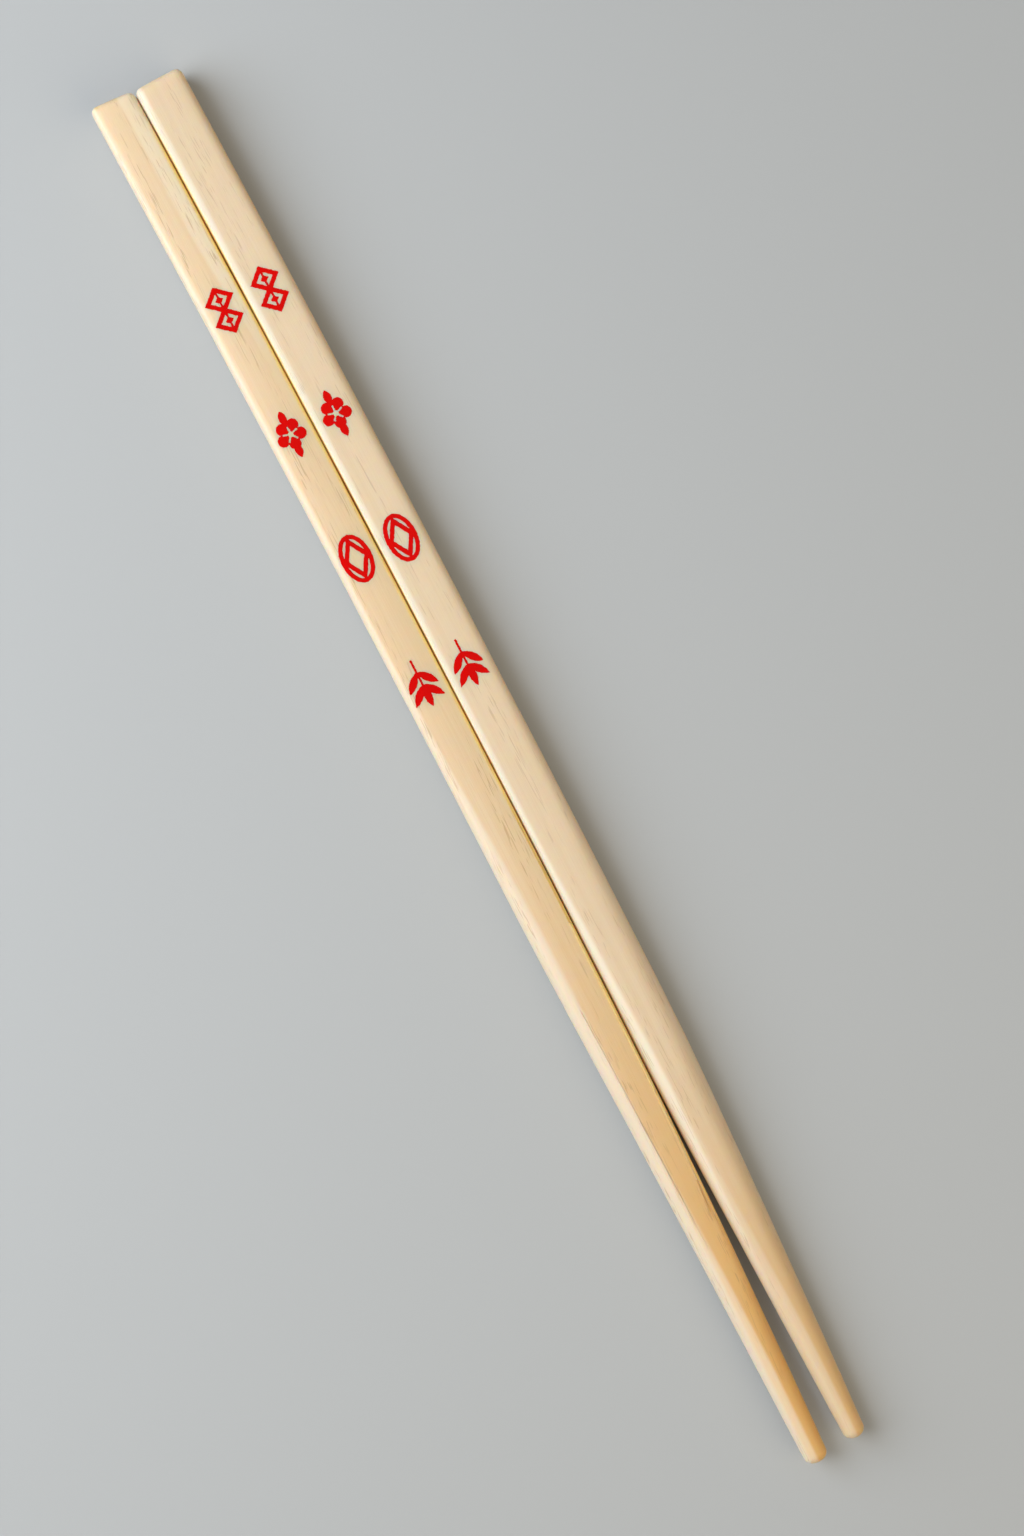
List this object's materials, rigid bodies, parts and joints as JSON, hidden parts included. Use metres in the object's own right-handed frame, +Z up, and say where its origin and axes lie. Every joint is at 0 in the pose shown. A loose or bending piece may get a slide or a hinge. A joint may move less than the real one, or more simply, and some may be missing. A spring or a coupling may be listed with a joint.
{
  "type": "pair of bamboo chopsticks",
  "caption": "Bamboo chopsticks lying side by side, with square handles that taper to round blunt tips and small red printed ornaments.",
  "frame": {"origin": "middle of the pair's footprint, on the surface that it lies on", "axes": "+Z up, the tips point along -Y, and the right stick is on the +X side"},
  "size_m": [0.0168, 0.2402, 0.0076],
  "materials": {
    "bamboo": "pale straw-coloured bamboo, sanded smooth and left without varnish, with fine fibres along the stick",
    "red_ink": "thin matt red printing ink"
  },
  "bodies": {
    "root": {"left_stick": "bamboo", "right_stick": "bamboo", "left_lozenge_print": "red_ink", "left_blossom_print": "red_ink", "left_coin_print": "red_ink", "left_sprig_print": "red_ink", "right_lozenge_print": "red_ink", "right_blossom_print": "red_ink", "right_coin_print": "red_ink", "right_sprig_print": "red_ink"}
  },
  "joints": []
}
